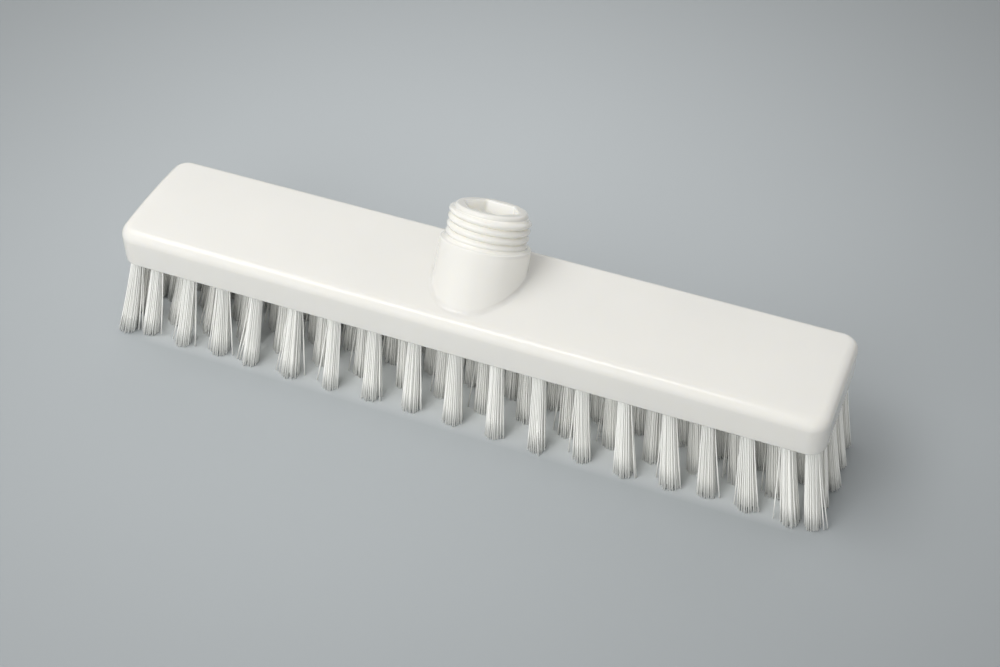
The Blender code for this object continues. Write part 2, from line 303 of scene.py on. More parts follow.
class Effects:
    """Node groups for effects that several finishes share, each built once."""

    @staticmethod
    def start(name: str, inputs: dict[str, float], output: str) -> tuple[Wiring, Sockets, Socket]:
        """Start a group with named number inputs and one number output.

        Args:
            name: Name of the group.
            inputs: Names and default values of its inputs.
            output: Name of its output.

        Returns:
            The group's wiring, its inputs by name and the socket of its output.
        """
        tree = bpy.data.node_groups.new(name, "ShaderNodeTree")
        for label, value in inputs.items():
            socket = tree.interface.new_socket(name=label, in_out="INPUT", socket_type="NodeSocketFloat")
            socket.default_value = value
        tree.interface.new_socket(name=output, in_out="OUTPUT", socket_type="NodeSocketFloat")
        wiring = Wiring(tree)
        return wiring, wiring.node("NodeGroupInput").outputs, wiring.node("NodeGroupOutput").inputs[0]

    @staticmethod
    @cache
    def clouding() -> Tree:
        """Soft uneven patches, as in pigmented plastic: two octaves of noise, spread to 0..1.

        Returns:
            The group.
        """
        wiring, given, result = Effects.start("clouding", {"Scale": 40.0, "Softness": 0.2}, "Value")
        noise = wiring.noise(wiring.place(), given["Scale"], 2.0)
        low = wiring.maths("SUBTRACT", 0.5, given["Softness"])
        high = wiring.maths("ADD", 0.5, given["Softness"])
        wiring.feed(result, wiring.spread(noise, low, high))
        return wiring.tree

    @staticmethod
    @cache
    def hairlines() -> Tree:
        """Fine scratches from use: noise drawn out along one direction, cut to its narrow crests.

        Returns:
            The group.
        """
        inputs = {"Scale": 60.0, "Stretch": 14.0, "Turn": 0.3}
        wiring, given, result = Effects.start("hairlines", inputs, "Mask")
        turn = wiring.node("ShaderNodeVectorRotate", rotation_type="Z_AXIS")
        wiring.feed(turn.inputs["Vector"], wiring.place())
        wiring.feed(turn.inputs["Angle"], given["Turn"])
        fine = wiring.maths("MULTIPLY", given["Scale"], given["Stretch"])
        size = wiring.node("ShaderNodeCombineXYZ")
        for socket, source in zip(size.inputs, (given["Scale"], fine, fine)):
            wiring.feed(socket, source)
        drawn = wiring.node("ShaderNodeVectorMath", operation="MULTIPLY")
        wiring.feed(drawn.inputs[0], turn.outputs[0])
        wiring.feed(drawn.inputs[1], size.outputs[0])
        wiring.feed(result, wiring.spread(wiring.noise(drawn.outputs[0], 1.0, 3.0), 0.62, 0.72))
        return wiring.tree

    @staticmethod
    @cache
    def specks() -> Tree:
        """Rare small dark inclusions: round cores of a few Voronoi cells, picked by the cell's own value.

        Returns:
            The group.
        """
        inputs = {"Scale": 90.0, "Size": 0.05, "Share": 0.03}
        wiring, given, result = Effects.start("specks", inputs, "Mask")
        cells = wiring.node("ShaderNodeTexVoronoi")
        wiring.feed(cells.inputs["Vector"], wiring.place())
        wiring.feed(cells.inputs["Scale"], given["Scale"])
        core = wiring.maths("LESS_THAN", cells.outputs["Distance"], given["Size"])
        split = wiring.node("ShaderNodeSeparateColor")
        wiring.feed(split.inputs[0], cells.outputs["Color"])
        picked = wiring.maths("LESS_THAN", split.outputs[0], given["Share"])
        wiring.feed(result, wiring.maths("MULTIPLY", core, picked))
        return wiring.tree

    @staticmethod
    @cache
    def wear_and_shade() -> Tree:
        """Edge wear, or painted shade in grooves and creases, that starts from a value of the mesh and breaks
        up in patches of noise.

        Returns:
            The group.
        """
        inputs = {"Where": 0.0, "Scale": 120.0, "Cover": 0.5}
        wiring, given, result = Effects.start("wear_and_shade", inputs, "Mask")
        noise = wiring.noise(wiring.place(), given["Scale"], 4.0)
        threshold = wiring.maths("SUBTRACT", 1.0, given["Cover"])
        patches = wiring.spread(noise, threshold, wiring.maths("ADD", threshold, 0.35))
        wiring.feed(result, wiring.maths("MULTIPLY", patches, given["Where"], clamp=True))
        return wiring.tree


def new_finish(name: str, roughness: float, ior: float) -> tuple[Material, Wiring, Node]:
    """Start a material on a Principled shader with its plain values set.

    Args:
        name: Name of the material.
        roughness: Roughness where no node sets it.
        ior: Index of refraction.

    Returns:
        The material, its wiring and its shader node.
    """
    material = bpy.data.materials.new(name)
    material.use_nodes = True
    shader = material.node_tree.nodes["Principled BSDF"]
    shader.inputs["Roughness"].default_value = roughness
    shader.inputs["IOR"].default_value = ior
    return material, Wiring(material.node_tree), shader


def opaque(colour: Colour) -> tuple[float, float, float, float]:
    """A linear colour with full alpha."""
    return (*colour, 1.0)


# Finishes


@dataclass(frozen=True)
class MouldedPlastic:
    """Glossy off-white polypropylene: faintly clouded, with hairlines, a few specks, painted shade in grooves,
    creases and the bore, and painted light in the bore, the grooves and the collar's far side.
    """

    colour: Colour = (0.730, 0.719, 0.680)
    clouded: Colour = (0.707, 0.698, 0.662)
    # Lighter colour painted as light in the bore, the grooves and the collar's far side.
    painted_light_colour: Colour = (0.985, 0.970, 0.910)
    # Darker colour painted as shade in grooves, creases and the bore, and how strong it is.
    dirt: Colour = (0.50, 0.49, 0.45)
    dirt_strength: float = 0.35
    speck: Colour = (0.16, 0.13, 0.10)
    roughness: float = 0.09
    clouded_rougher: float = 0.05
    worn_rougher: float = 0.10
    scratched_rougher: float = 0.05
    ior: float = 1.49
    scatter: float = 0.6
    scatter_reach: float = 0.0035
    scatter_colours: Colour = (1.0, 0.95, 0.8)
    skin_scale: float = 90.0
    skin_strength: float = 0.5
    skin_depth: float = 0.00005
    scratch_depth: float = 0.05

    def material(self) -> Material:
        """Build the moulding's material.

        Returns:
            The finished material.
        """
        made, wiring, shader = new_finish("moulded_off_white_plastic", self.roughness, self.ior)
        shader.inputs["Subsurface Weight"].default_value = self.scatter
        shader.inputs["Subsurface Radius"].default_value = self.scatter_colours
        shader.inputs["Subsurface Scale"].default_value = self.scatter_reach
        clouds = wiring.placed_group(Effects.clouding(), Scale=22.0, Softness=0.22)
        colour = wiring.blend(clouds, opaque(self.colour), opaque(self.clouded))
        # Painted light: the lighter colour wherever the mesh's painted-light values are set.
        colour = wiring.blend(wiring.channel(Channel.PAINTED_LIGHT), colour, opaque(self.painted_light_colour))
        # Painted shade: the darker colour wherever the mesh's painted-shade values are set, broken up by
        # noise.
        recess = wiring.channel(Channel.PAINTED_SHADE)
        recess_shade_mask = wiring.placed_group(Effects.wear_and_shade(), Where=recess, Scale=160.0, Cover=0.62)
        recess_shade_mask = wiring.maths("MULTIPLY", recess_shade_mask, self.dirt_strength)
        colour = wiring.blend(recess_shade_mask, colour, opaque(self.dirt))
        specks = wiring.placed_group(Effects.specks(), Scale=85.0, Size=0.028, Share=0.03)
        wiring.feed(shader.inputs["Base Color"], wiring.blend(specks, colour, opaque(self.speck)))

        edge = wiring.channel(Channel.EDGE)
        wear = wiring.placed_group(Effects.wear_and_shade(), Where=edge, Scale=210.0, Cover=0.58)
        lines = wiring.placed_group(Effects.hairlines(), Scale=26.0, Stretch=26.0, Turn=0.35)
        crossed = wiring.placed_group(Effects.hairlines(), Scale=34.0, Stretch=22.0, Turn=-0.9)
        scratches = wiring.maths("MAXIMUM", lines, crossed)
        rough: object = self.roughness
        masks = (clouds, wear, scratches)
        rises = (self.clouded_rougher, self.worn_rougher, self.scratched_rougher)
        for mask, rise in zip(masks, rises):
            rough = wiring.maths("ADD", rough, wiring.maths("MULTIPLY", mask, rise))
        wiring.feed(shader.inputs["Roughness"], rough)

        skin = wiring.noise(wiring.place(), self.skin_scale, 2.0)
        height = wiring.maths("SUBTRACT", skin, wiring.maths("MULTIPLY", scratches, self.scratch_depth))
        bump = wiring.node("ShaderNodeBump")
        bump.inputs["Strength"].default_value = self.skin_strength
        bump.inputs["Distance"].default_value = self.skin_depth
        wiring.feed(bump.inputs["Height"], height)
        wiring.feed(shader.inputs["Normal"], bump.outputs[0])
        return made


@dataclass(frozen=True)
class BristleFibre:
    """Off-white polyester filament: each one a little lighter or darker, with painted shade that greys it
    towards its root.
    """

    light: Colour = (0.988, 0.985, 0.945)
    dark: Colour = (0.955, 0.952, 0.910)
    # Greyer colour painted towards the root, as shade beneath the block.
    root: Colour = (0.96, 0.96, 0.92)
    root_shade_strength: float = 0.5
    root_shade_reach: float = 0.35
    dust: float = 0.12
    roughness: float = 0.42
    ior: float = 1.53

    def material(self) -> Material:
        """Build the filaments' material.

        Returns:
            The finished material.
        """
        made, wiring, shader = new_finish("off_white_bristle_fibre", self.roughness, self.ior)
        colour = wiring.blend(wiring.channel(Channel.TINT), opaque(self.dark), opaque(self.light))
        along = wiring.channel(Channel.ALONG)
        # Painted shade: greyer towards the root.
        root_shade_share = wiring.spread(along, 0.0, self.root_shade_reach, self.root_shade_strength, 0.0)
        colour = wiring.blend(root_shade_share, colour, opaque(self.root))
        dust = wiring.placed_group(Effects.clouding(), Scale=70.0, Softness=0.2)
        dust = wiring.maths("MULTIPLY", dust, self.dust)
        wiring.feed(shader.inputs["Base Color"], wiring.blend(dust, colour, opaque(self.dark)))
        wiring.feed(shader.inputs["Roughness"], wiring.maths("ADD", self.roughness, dust))
        return made


@dataclass(frozen=True)
class PaleFloor:
    """Plain light blue-grey board with a painted pool of light: lighter at its middle spot, darker away from
    it.

    It has painted light beneath the brush: a lighter colour that stands for light that real filaments let
    through to it.
    From below it is clear, so that the underside of the brush can be looked at.
    """

    colour: Colour = (0.469, 0.500, 0.514)
    # Painted light: the darker colour away from the middle spot, and where that spot is and how far it
    # reaches.
    away: Colour = (0.244, 0.260, 0.267)
    cloud_strength: float = 0.04
    middle: tuple[float, float, float] = (-0.035, 0.110, 0.0)
    reach: float = 0.45
    # Painted light: a lighter colour beneath the brush, and the size and soft edge of that patch.
    painted_light_under: Colour = (0.75, 0.78, 0.78)
    painted_light_footprint: tuple[float, float] = (0.153, 0.031)
    fade: float = 0.013
    roughness: float = 0.62
    ior: float = 1.45

    def material(self) -> Material:
        """Build the floor's material.

        Returns:
            The finished material.
        """
        made, wiring, shader = new_finish("pale_floor", self.roughness, self.ior)
        # Painted pool of light: lighter near the middle spot, darker away from it.
        distance = wiring.node("ShaderNodeVectorMath", operation="DISTANCE")
        wiring.feed(distance.inputs[0], wiring.place())
        wiring.feed(distance.inputs[1], self.middle)
        far = wiring.spread(distance.outputs["Value"], 0.0, self.reach)
        far.node.interpolation_type = "SMOOTHSTEP"
        colour = wiring.blend(far, opaque(self.colour), opaque(self.away))
        clouds = wiring.placed_group(Effects.clouding(), Scale=3.0, Softness=0.3)
        clouds = wiring.maths("MULTIPLY", clouds, self.cloud_strength)
        colour = wiring.blend(clouds, colour, opaque(self.away))
        # Painted light: the lighter colour beneath the brush, fading out at the edges of the patch.
        split = wiring.node("ShaderNodeSeparateXYZ")
        wiring.feed(split.inputs[0], wiring.place())
        painted_light_share: object = 1.0
        for axis, edge in enumerate(self.painted_light_footprint):
            out = wiring.maths("ABSOLUTE", split.outputs[axis])
            painted_light_share = wiring.maths("MULTIPLY", wiring.spread(out, edge - self.fade, edge, 1.0, 0.0), painted_light_share)
        wiring.feed(shader.inputs["Base Color"], wiring.blend(painted_light_share, colour, opaque(self.painted_light_under)))

        seen = wiring.node("ShaderNodeMixShader")
        below = wiring.node("ShaderNodeNewGeometry").outputs["Backfacing"]
        clear = wiring.node("ShaderNodeBsdfTransparent").outputs[0]
        for socket, source in zip(seen.inputs, (below, shader.outputs[0], clear)):
            wiring.feed(socket, source)
        wiring.feed(made.node_tree.nodes["Material Output"].inputs["Surface"], seen.outputs[0])
        return made


# The block and its handle spigot


@dataclass
class Moulding:
    """The brush block and its handle spigot, one closed surface.

    The surface is a stack of closed rings with the same number of points: up the hexagonal bore, over the
    lip, down the thread and the collar, out over the crowned top and down the sides to the tuft holes.
    Distances along the spigot are measured up its axis from where it meets the highest level of the block.
    """

    # Block
    length: float = 0.300
    width: float = 0.055
    edge_height: float = 0.0166
    crown: float = 0.0015
    corner_radius: float = 0.0074
    top_round: float = 0.0047
    bottom_round: float = 0.0012

    # Spigot's collar
    tilt: float = math.radians(27.5)
    setback: float = 0.0043
    collar_radius: float = 0.01845
    side_draft: float = math.radians(0.5)
    front_draft: float = math.radians(8.0)
    shoulder_at: float = 0.012504
    shoulder_round: float = 0.0008
    foot_fillet: float = 0.0018
    most_of_wall: float = 0.75

    # Thread, with its end face and nose
    thread_radius: float = 0.0167
    thread_depth: float = 0.0015
    thread_pitch: float = 0.0030
    crest_power: float = 1.9
    flank_power: float = 0.9
    crest_at: float = 0.02342
    first_crest: float = 0.0252
    fade_in: float = 0.0006
    run_out: float = 0.0024
    run_out_mean: float = 0.62
    run_out_swing: float = 0.38
    run_out_towards: float = math.radians(240)
    corner_fill: float = 0.0013
    face_at: float = 0.02675
    face_radius: float = 0.0136
    face_land: float = 0.0003
    nose_radius: float = 0.0148
    nose_length: float = 0.0017
    nose_blend: float = 0.0005

    # Bore for the handle
    bore_flat: float = 0.01025
    bore_floor_at: float = -0.004585
    bore_corner_ease: float = 0.00012
    lip_round: float = 0.0003

    # Tuft holes
    hole_radius: float = 0.0030
    hole_depth: float = 0.0040
    hole_cone: float = 0.2
    hole_points: int = 20

    # Columns of the mesh, and how they spread over the block
    columns: int = 240
    corner_columns: int = 14
    end_columns: int = 4
    reach_columns: int = 12
    reach_power: float = 1.5
    spread_behind: float = 1.05
    edge_share: float = 0.92
    least_edge: float = 0.0001
    sharp_angle: float = math.radians(40)

    # How worn places are, and how much painted shade and painted light they get, from 0 to 1
    face_wear: float = 0.3
    crest_wear: float = 0.8
    shoulder_wear: float = 0.2
    # Painted shade in the grooves, at the collar's foot and down the bore.
    groove_dirt: float = 0.2
    foot_dirt: float = 0.6
    bore_dirt: float = 0.1
    bore_dirt_reach: float = 0.008
    # Painted light in the grooves, on the shoulder and on the collar's far side.
    groove_painted_light: float = 0.55
    shoulder_painted_light: float = 0.35
    far_side_painted_light: float = 0.4
    far_side: float = math.radians(15)

    levels: list[Floats] = field(default_factory=list)
    values: dict[Channel, list[Floats]] = field(
        default_factory=lambda: {Channel.EDGE: [], Channel.PAINTED_SHADE: [], Channel.PAINTED_LIGHT: []}
    )

    def __post_init__(self) -> None:
        """Work out the values that follow from the sizes."""
        self.block_height = self.edge_height + self.crown
        self.angle = np.linspace(0, 2 * math.pi, self.columns, endpoint=False)

    def about_axis(self, distance: Floats, radius: Floats) -> Floats:
        """Points round the leaning axis, in the block's own space.

        A point is the axis base + distance * axis + radius * (cos a * across + sin a * back).

        Args:
            distance: Distances up the axis, one row for each ring.
            radius: Distances from the axis, shaped like distance or one that stretches to it.

        Returns:
            Points in an array of rings, columns and xyz.
        """
        distance, radius = np.broadcast_arrays(distance, radius)
        lean, rise = math.sin(self.tilt), math.cos(self.tilt)
        sideways = radius * np.cos(self.angle)
        backward = radius * np.sin(self.angle)
        along = self.setback + distance * lean + backward * rise
        height = self.block_height + distance * rise - backward * lean
        return np.stack([sideways, along, height], axis=-1)

    def top_height(self, across: Floats) -> Floats:
        """Height of the crowned top over the underside: the crown falls off with the square of y."""
        return self.edge_height + self.crown * (1 - (across / (self.width / 2)) ** 2)

    def depth_inside(self, plan: Floats) -> Floats:
        """Distance of plan points from the rounded outline, positive inside.

        The distance to a rounded rectangle is the length of the part outside its core rectangle, less the
        corner radius.

        Args:
            plan: Points in the last axis, x first and y second.

        Returns:
            The distances.
        """
        core = np.array([self.length / 2, self.width / 2]) - self.corner_radius
        beyond = np.abs(plan[..., :2]) - core
        outside = np.linalg.norm(np.maximum(beyond, 0), axis=-1)
        inside = np.minimum(beyond.max(axis=-1), 0)
        return self.corner_radius - outside - inside

    def surface_height(self, plan: Floats) -> Floats:
        """Height of the block's top at plan points: the crown, less a quarter round near the outline.

        Args:
            plan: Points in the last axis, x first and y second.

        Returns:
            The heights over the underside.
        """
        depth = np.clip(self.depth_inside(plan), 0, self.top_round)
        drop = self.top_round - np.sqrt(self.top_round**2 - (self.top_round - depth) ** 2)
        return self.top_height(plan[..., 1]) - drop

    def add_rings(self, points: Floats, wear: Amount = 0.0, dirt: Amount = 0.0, pale: Amount = 0.0) -> None:
        """Add rings of points with how worn they are and how much painted shade and painted light they get.

        Args:
            points: Rings, columns and xyz.
            wear: Edge wear from 0 to 1, one value for each point or one for all.
            dirt: Painted shade, a darker colour, from 0 to 1, likewise.
            pale: Painted light, a lighter colour that stands for light through the plastic, from 0 to 1,
                likewise.
        """
        self.levels.append(points)
        for kept, value in zip(self.values.values(), (wear, dirt, pale)):
            kept.append(np.broadcast_to(value, points.shape[:2]))

    def add_round(self, distance: Floats, radius: Floats, **looks: Amount) -> None:
        """Add rings about the spigot's axis, at these distances and radii."""
        self.add_rings(self.about_axis(distance, radius), **looks)

    def add_level(self, plan: Floats, height: Floats, **looks: Amount) -> None:
        """Add rings from their places in plan and the height of each point."""
        self.add_rings(np.concatenate([plan, height[..., None]], axis=-1), **looks)

    def bore(self) -> None:
        """Floor and walls of the hexagonal bore.

        The wall's distance from the axis is flat / cos(a mod 60 degrees - 30 degrees), with its corners at
        the sides, held back a little so that the corners are not knife sharp.
        """
        sixth = math.pi / 3
        hexagon = self.bore_flat / np.cos(np.mod(self.angle, sixth) - sixth / 2)
        self.hexagon = np.minimum(hexagon, hexagon.max() - self.bore_corner_ease)
        share = np.array([0.02, 0.35, 0.7, 0.97, 1.0])[:, None]
        floor_at = self.bore_floor_at + 0 * share
        # The bore is given full painted light, and painted shade that grows towards its floor.
        self.add_round(floor_at, share * self.hexagon, dirt=self.bore_dirt, pale=1.0)
        rise = np.linspace(self.lip_round, self.face_at - self.lip_round - self.bore_floor_at, 14)[:, None]
        dirt = self.bore_dirt * (1 - smooth_step(rise / self.bore_dirt_reach))
        self.add_round(self.bore_floor_at + rise, self.hexagon + 0 * rise, dirt=dirt, pale=1.0)

    def nose(self) -> None:
        """The end face round the bore and the rounded nose that leads into the thread.

        The lip between bore and face is a quarter round. The nose is a quarter of an ellipse, from the edge
        of the face (radius + width sin t, distance - length (1 - cos t)) down to where the thread starts.
        """
        turn = np.linspace(0.1, 1.0, 4)[:, None] * math.pi / 2
        lip = self.hexagon + self.lip_round * (1 - np.cos(turn))
        lip_at = self.face_at - self.lip_round * (1 - np.sin(turn))
        self.add_round(lip_at, lip, wear=np.sin(turn) ** 2)
        share = shares(4)[:, None]
        inner = self.hexagon + self.lip_round
        edge = np.maximum(self.face_radius, inner + self.face_land)
        self.add_round(self.face_at + 0 * share, inner + (edge - inner) * share, wear=self.face_wear)
        turn = shares(9)[:, None] * math.pi / 2
        width = self.nose_radius - edge
        nose_at = self.face_at - self.nose_length * (1 - np.cos(turn))
        self.add_round(nose_at, edge + width * np.sin(turn), wear=np.sin(2 * turn) ** 2)

    def thread(self) -> None:
        """The rounded thread, from the nose down to the shoulder.

        The phase of a point is (distance - crest) / pitch + (a - 270 degrees) / 360 degrees, taken to
        -0.5..0.5, so the turns go down to the right at the front. The thread stands on its core by
        depth * (1 - (2 |phase|)^crest power)^flank power, round crests with narrower grooves between them. A
        turn fades in as its own crest, at distance - phase * pitch, comes down from the nose. The last turn
        runs out into the shoulder, most of all at the front left, and fills the corner there.
        """
        top = self.face_at - self.nose_length
        lowest = self.shoulder_at + self.corner_fill * self.run_out_share()
        distance = top + (lowest - top) * shares(109)[:, None]
        phase = (distance - self.crest_at) / self.thread_pitch + self.angle / (2 * math.pi) - 0.75
        phase = np.mod(phase + 0.5, 1.0) - 0.5
        ridge = (1 - (2 * np.abs(phase)) ** self.crest_power) ** self.flank_power
        ridge *= smooth_step((self.first_crest - distance + phase * self.thread_pitch) / self.fade_in)
        ending = smooth_step((self.shoulder_at + self.run_out - distance) / self.run_out)
        ridge = np.maximum(ridge, ending * self.run_out_share())
        groove = 1 - ridge
        start = smooth_step((top - distance) / self.nose_blend)
        core = self.thread_radius - self.thread_depth
        radius = self.nose_radius + (core + self.thread_depth * ridge - self.nose_radius) * start
        self.thread_end = radius[-1]
        # The grooves get painted shade and painted light, darker and lighter colour by their depth.
        wear = self.crest_wear * ridge**4
        dirt = self.groove_dirt * groove**2
        self.add_round(distance, radius, wear=wear, dirt=dirt, pale=self.groove_painted_light * groove)

    def run_out_share(self) -> Floats:
        """How far the last turn fills the corner at the shoulder: all of it at the front left."""
        return self.run_out_mean + self.run_out_swing * np.cos(self.angle - self.run_out_towards)

    def collar(self) -> None:
        """The shoulder, the plain collar and the fillet at its foot.

        The shoulder starts where the run-out ends and comes down to its level with (1 - share)^2. The wall's
        foot is found by steps along the wall, distance += (top height - z) / cos tilt. The fillet is a
        quadratic curve from the wall to the top of the block, with the sharp corner as its middle point. The
        wall has painted light on its far side, a lighter colour that stands for light through the plastic. The
        shoulder gets painted light, and the shoulder's corner and the crease of the fillet get painted shade.
        """
        share = np.linspace(0.12, 1.0, 4)[:, None]
        flat = self.thread_end + (self.collar_radius - self.shoulder_round - self.thread_end) * share
        corner = (1 - share) ** 2
        lifted = self.shoulder_at + self.corner_fill * self.run_out_share() * corner
        # The shoulder gets painted light, and its corner painted shade.
        looks = {"wear": self.shoulder_wear, "dirt": self.groove_dirt * corner, "pale": self.shoulder_painted_light}
        self.add_round(lifted, flat, **looks)
        turn = shares(5)[:, None] * math.pi / 2
        rounded_at = self.shoulder_at - self.shoulder_round * (1 - np.cos(turn))
        rounded = self.collar_radius - self.shoulder_round * (1 - np.sin(turn))
        self.add_round(rounded_at, rounded, wear=1.0)

        foot = np.zeros(self.columns)
        for _ in range(40):
            at_foot = self.about_axis(foot[None], self.wall_radius(foot)[None])[0]
            foot = foot + (self.surface_height(at_foot) - at_foot[:, 2]) / math.cos(self.tilt)
        wall_top = self.shoulder_at - self.shoulder_round
        fillet = np.minimum(self.foot_fillet, self.most_of_wall * (wall_top - foot))
        share = np.linspace(0.08, 1.0, 8)[:, None]
        wall = wall_top * (1 - share) + (foot + fillet) * share
        # Painted light: the wall's far side is coloured lighter.
        far = np.clip(np.cos(self.angle - self.far_side), 0, 1)
        self.add_round(wall, self.wall_radius(wall), pale=self.far_side_painted_light * far)

        corner = self.about_axis(foot[None], self.wall_radius(foot)[None])
        upper = self.about_axis((foot + fillet)[None], self.wall_radius(foot + fillet)[None])
        away = np.stack([np.cos(self.angle), np.sin(self.angle) * math.cos(self.tilt)], axis=-1)
        away /= np.linalg.norm(away, axis=-1, keepdims=True)
        lower = corner.copy()
        lower[..., :2] += away * fillet[:, None]
        lower[..., 2] = self.surface_height(lower)
        share = shares(10)[:, None, None]
        curve = (1 - share) ** 2 * upper + 2 * share * (1 - share) * corner + share**2 * lower
        # Painted shade: the crease of the fillet is coloured darker.
        self.add_rings(curve, dirt=self.foot_dirt * (4 * share * (1 - share))[..., 0])
        self.foot_plan = lower[0, :, :2]

    def wall_radius(self, distance: Floats) -> Floats:
        """Radius of the collar, which spreads by its draft down to the block, most of all at its front.

        Args:
            distance: Distances up the axis, with the columns in the last axis.

        Returns:
            The radius at each distance.
        """
        towards_front = np.clip(-np.sin(self.angle), 0, 1) ** 2
        draft = self.side_draft + (self.front_draft - self.side_draft) * towards_front
        return self.collar_radius + (self.shoulder_at - distance) * np.tan(draft)

    def outline(self) -> tuple[Floats, Floats]:
        """Points of the core rectangle and outward directions that carry the rounded outline.

        The outline at a depth d inside is core + (corner radius - d) * direction. Columns stand close behind
        the spigot and at the corners, and far apart on the straight runs between.

        Returns:
            Core points and directions, one row for each column.
        """
        half = np.array([self.length / 2, self.width / 2]) - self.corner_radius
        quarter = self.columns // 4
        near = self.end_columns + self.corner_columns + self.reach_columns
        end_y = half[1] * np.arange(self.end_columns) / self.end_columns
        end = np.stack([np.full(self.end_columns, half[0]), end_y], axis=-1)
        corner = np.tile(half, (self.corner_columns, 1))
        close = self.spread_behind * np.abs(self.foot_plan[near : quarter + 1, 0])
        far_share = np.linspace(1, 0, self.reach_columns, endpoint=False) ** self.reach_power
        along = np.concatenate([close[0] + (half[0] - close[0]) * far_share, close])
        long_side = np.stack([along, np.full(len(along), half[1])], axis=-1)
        core = np.concatenate([end, corner, long_side])
        corner_turn = np.linspace(0, math.pi / 2, self.corner_columns, endpoint=False)
        turn = np.concatenate([np.zeros(self.end_columns), corner_turn, np.full(len(along), math.pi / 2)])
        both = []
        for part in (core, np.stack([np.cos(turn), np.sin(turn)], axis=-1)):
            half_turn = np.concatenate([part[:quarter], part[quarter:0:-1] * [-1, 1]])
            both.append(np.concatenate([half_turn, -half_turn]))
        return both[0], both[1]

    def block(self) -> None:
        """The crowned top from the fillet's foot outwards, the rounded edge, the sides and the bottom edge.

        On the top each column runs straight in plan to where the rounded edge starts, and the height follows
        from the plan. On the edge the depth inside the outline is top_round * (1 - sin t).
        """
        core, direction = self.outline()
        foot_depth = self.depth_inside(self.foot_plan) * self.edge_share
        start = np.minimum(self.top_round, np.maximum(foot_depth, self.least_edge))
        edge_plan = core + (self.corner_radius - start)[:, None] * direction
        share = shares(42)[:, None, None]
        plan = (1 - share) * self.foot_plan + share * edge_plan
        self.add_level(plan, self.surface_height(plan))

        first = np.arcsin(1 - start / self.top_round)
        turn = first + (math.pi / 2 - first) * shares(14)[:, None]
        depth = self.top_round * (1 - np.sin(turn))
        plan = core + (self.corner_radius - depth)[..., None] * direction
        height = self.surface_height(plan)
        self.add_level(plan, height, wear=np.sin(2 * turn) ** 2)

        foot_of_edge = height[-1]
        height = foot_of_edge + (self.bottom_round - foot_of_edge) * shares(5)[:, None]
        plan = np.broadcast_to(core + self.corner_radius * direction, (*height.shape, 2))
        self.add_level(plan, height)

        turn = shares(6)[:, None, None] * math.pi / 2
        inside = self.bottom_round * (1 - np.cos(turn))
        plan = core + (self.corner_radius - inside) * direction
        height = np.broadcast_to(self.bottom_round * (1 - np.sin(turn[..., 0])), plan.shape[:2])
        self.add_level(plan, height, wear=1.0)

    def underside(self, holes: Floats, rim: Whole, points: Floats) -> tuple[Floats, list[Whole]]:
        """The flat underside with its tuft holes.

        A constrained triangulation fills the plane between the rim and the hole circles. Each hole is a
        cylinder with a shallow cone for a bottom.

        Args:
            holes: Centres of the holes in plan.
            rim: Vertex numbers of the innermost ring of the bottom edge.
            points: The places of all vertices so far.

        Returns:
            New points, and faces that join them to the rim.
        """
        turn = np.linspace(0, 2 * math.pi, self.hole_points, endpoint=False)
        circle = self.hole_radius * np.stack([np.cos(turn), np.sin(turn)], axis=-1)
        circles = holes[:, None, :] + circle
        ring_numbers = np.arange(circles.shape[0] * self.hole_points).reshape(-1, self.hole_points)
        count = len(rim)
        plan = np.concatenate([points[rim, :2], circles.reshape(-1, 2)])
        loops = [np.arange(count), *(count + ring_numbers)]
        edges = np.concatenate([np.stack([loop, np.roll(loop, -1)], axis=-1) for loop in loops])
        filled = delaunay_2d_cdt([Vector(spot) for spot in plan], edges.tolist(), [], 1, 1e-7)
        corners = np.array(filled[2])
        flat = np.array([tuple(spot) for spot in filled[0]])
        if len(flat) != len(plan):
            raise ValueError("the underside's triangulation moved or added points")
        middles = flat[corners].mean(axis=1)
        nearest = np.linalg.norm(middles[:, None] - holes[None], axis=-1).min(axis=1)
        # A triangle that fills a hole has its middle inside the circle, and the others lie outside.
        corners = corners[nearest > self.hole_radius * 0.98]

        base = len(points)
        number = np.concatenate([rim, base + np.arange(len(plan) - count)])
        mouths = np.concatenate([circles, np.zeros((*circles.shape[:2], 1))], axis=-1)
        tops = mouths + [0, 0, self.hole_depth]
        cone_at = np.full((len(holes), 1), self.hole_depth * (1 + self.hole_cone))
        middle = np.concatenate([holes, cone_at], axis=-1)
        added = np.concatenate([mouths.reshape(-1, 3), tops.reshape(-1, 3), middle])
        lower = base + ring_numbers
        upper = lower + lower.size
        walls = np.stack([lower, np.roll(lower, -1, axis=1), np.roll(upper, -1, axis=1), upper], axis=-1)
        cones = np.broadcast_to(base + 2 * lower.size + np.arange(len(holes))[:, None], upper.shape)
        caps = np.stack([upper, np.roll(upper, -1, axis=1), cones], axis=-1)
        down = number[corners]
        first, second, third = (plan[corners[:, corner]] for corner in range(3))
        one, two = second - first, third - first
        up_facing = one[:, 0] * two[:, 1] > one[:, 1] * two[:, 0]
        down[up_facing] = down[up_facing][:, ::-1]
        return added, [down, walls.reshape(-1, 4), caps.reshape(-1, 3)]

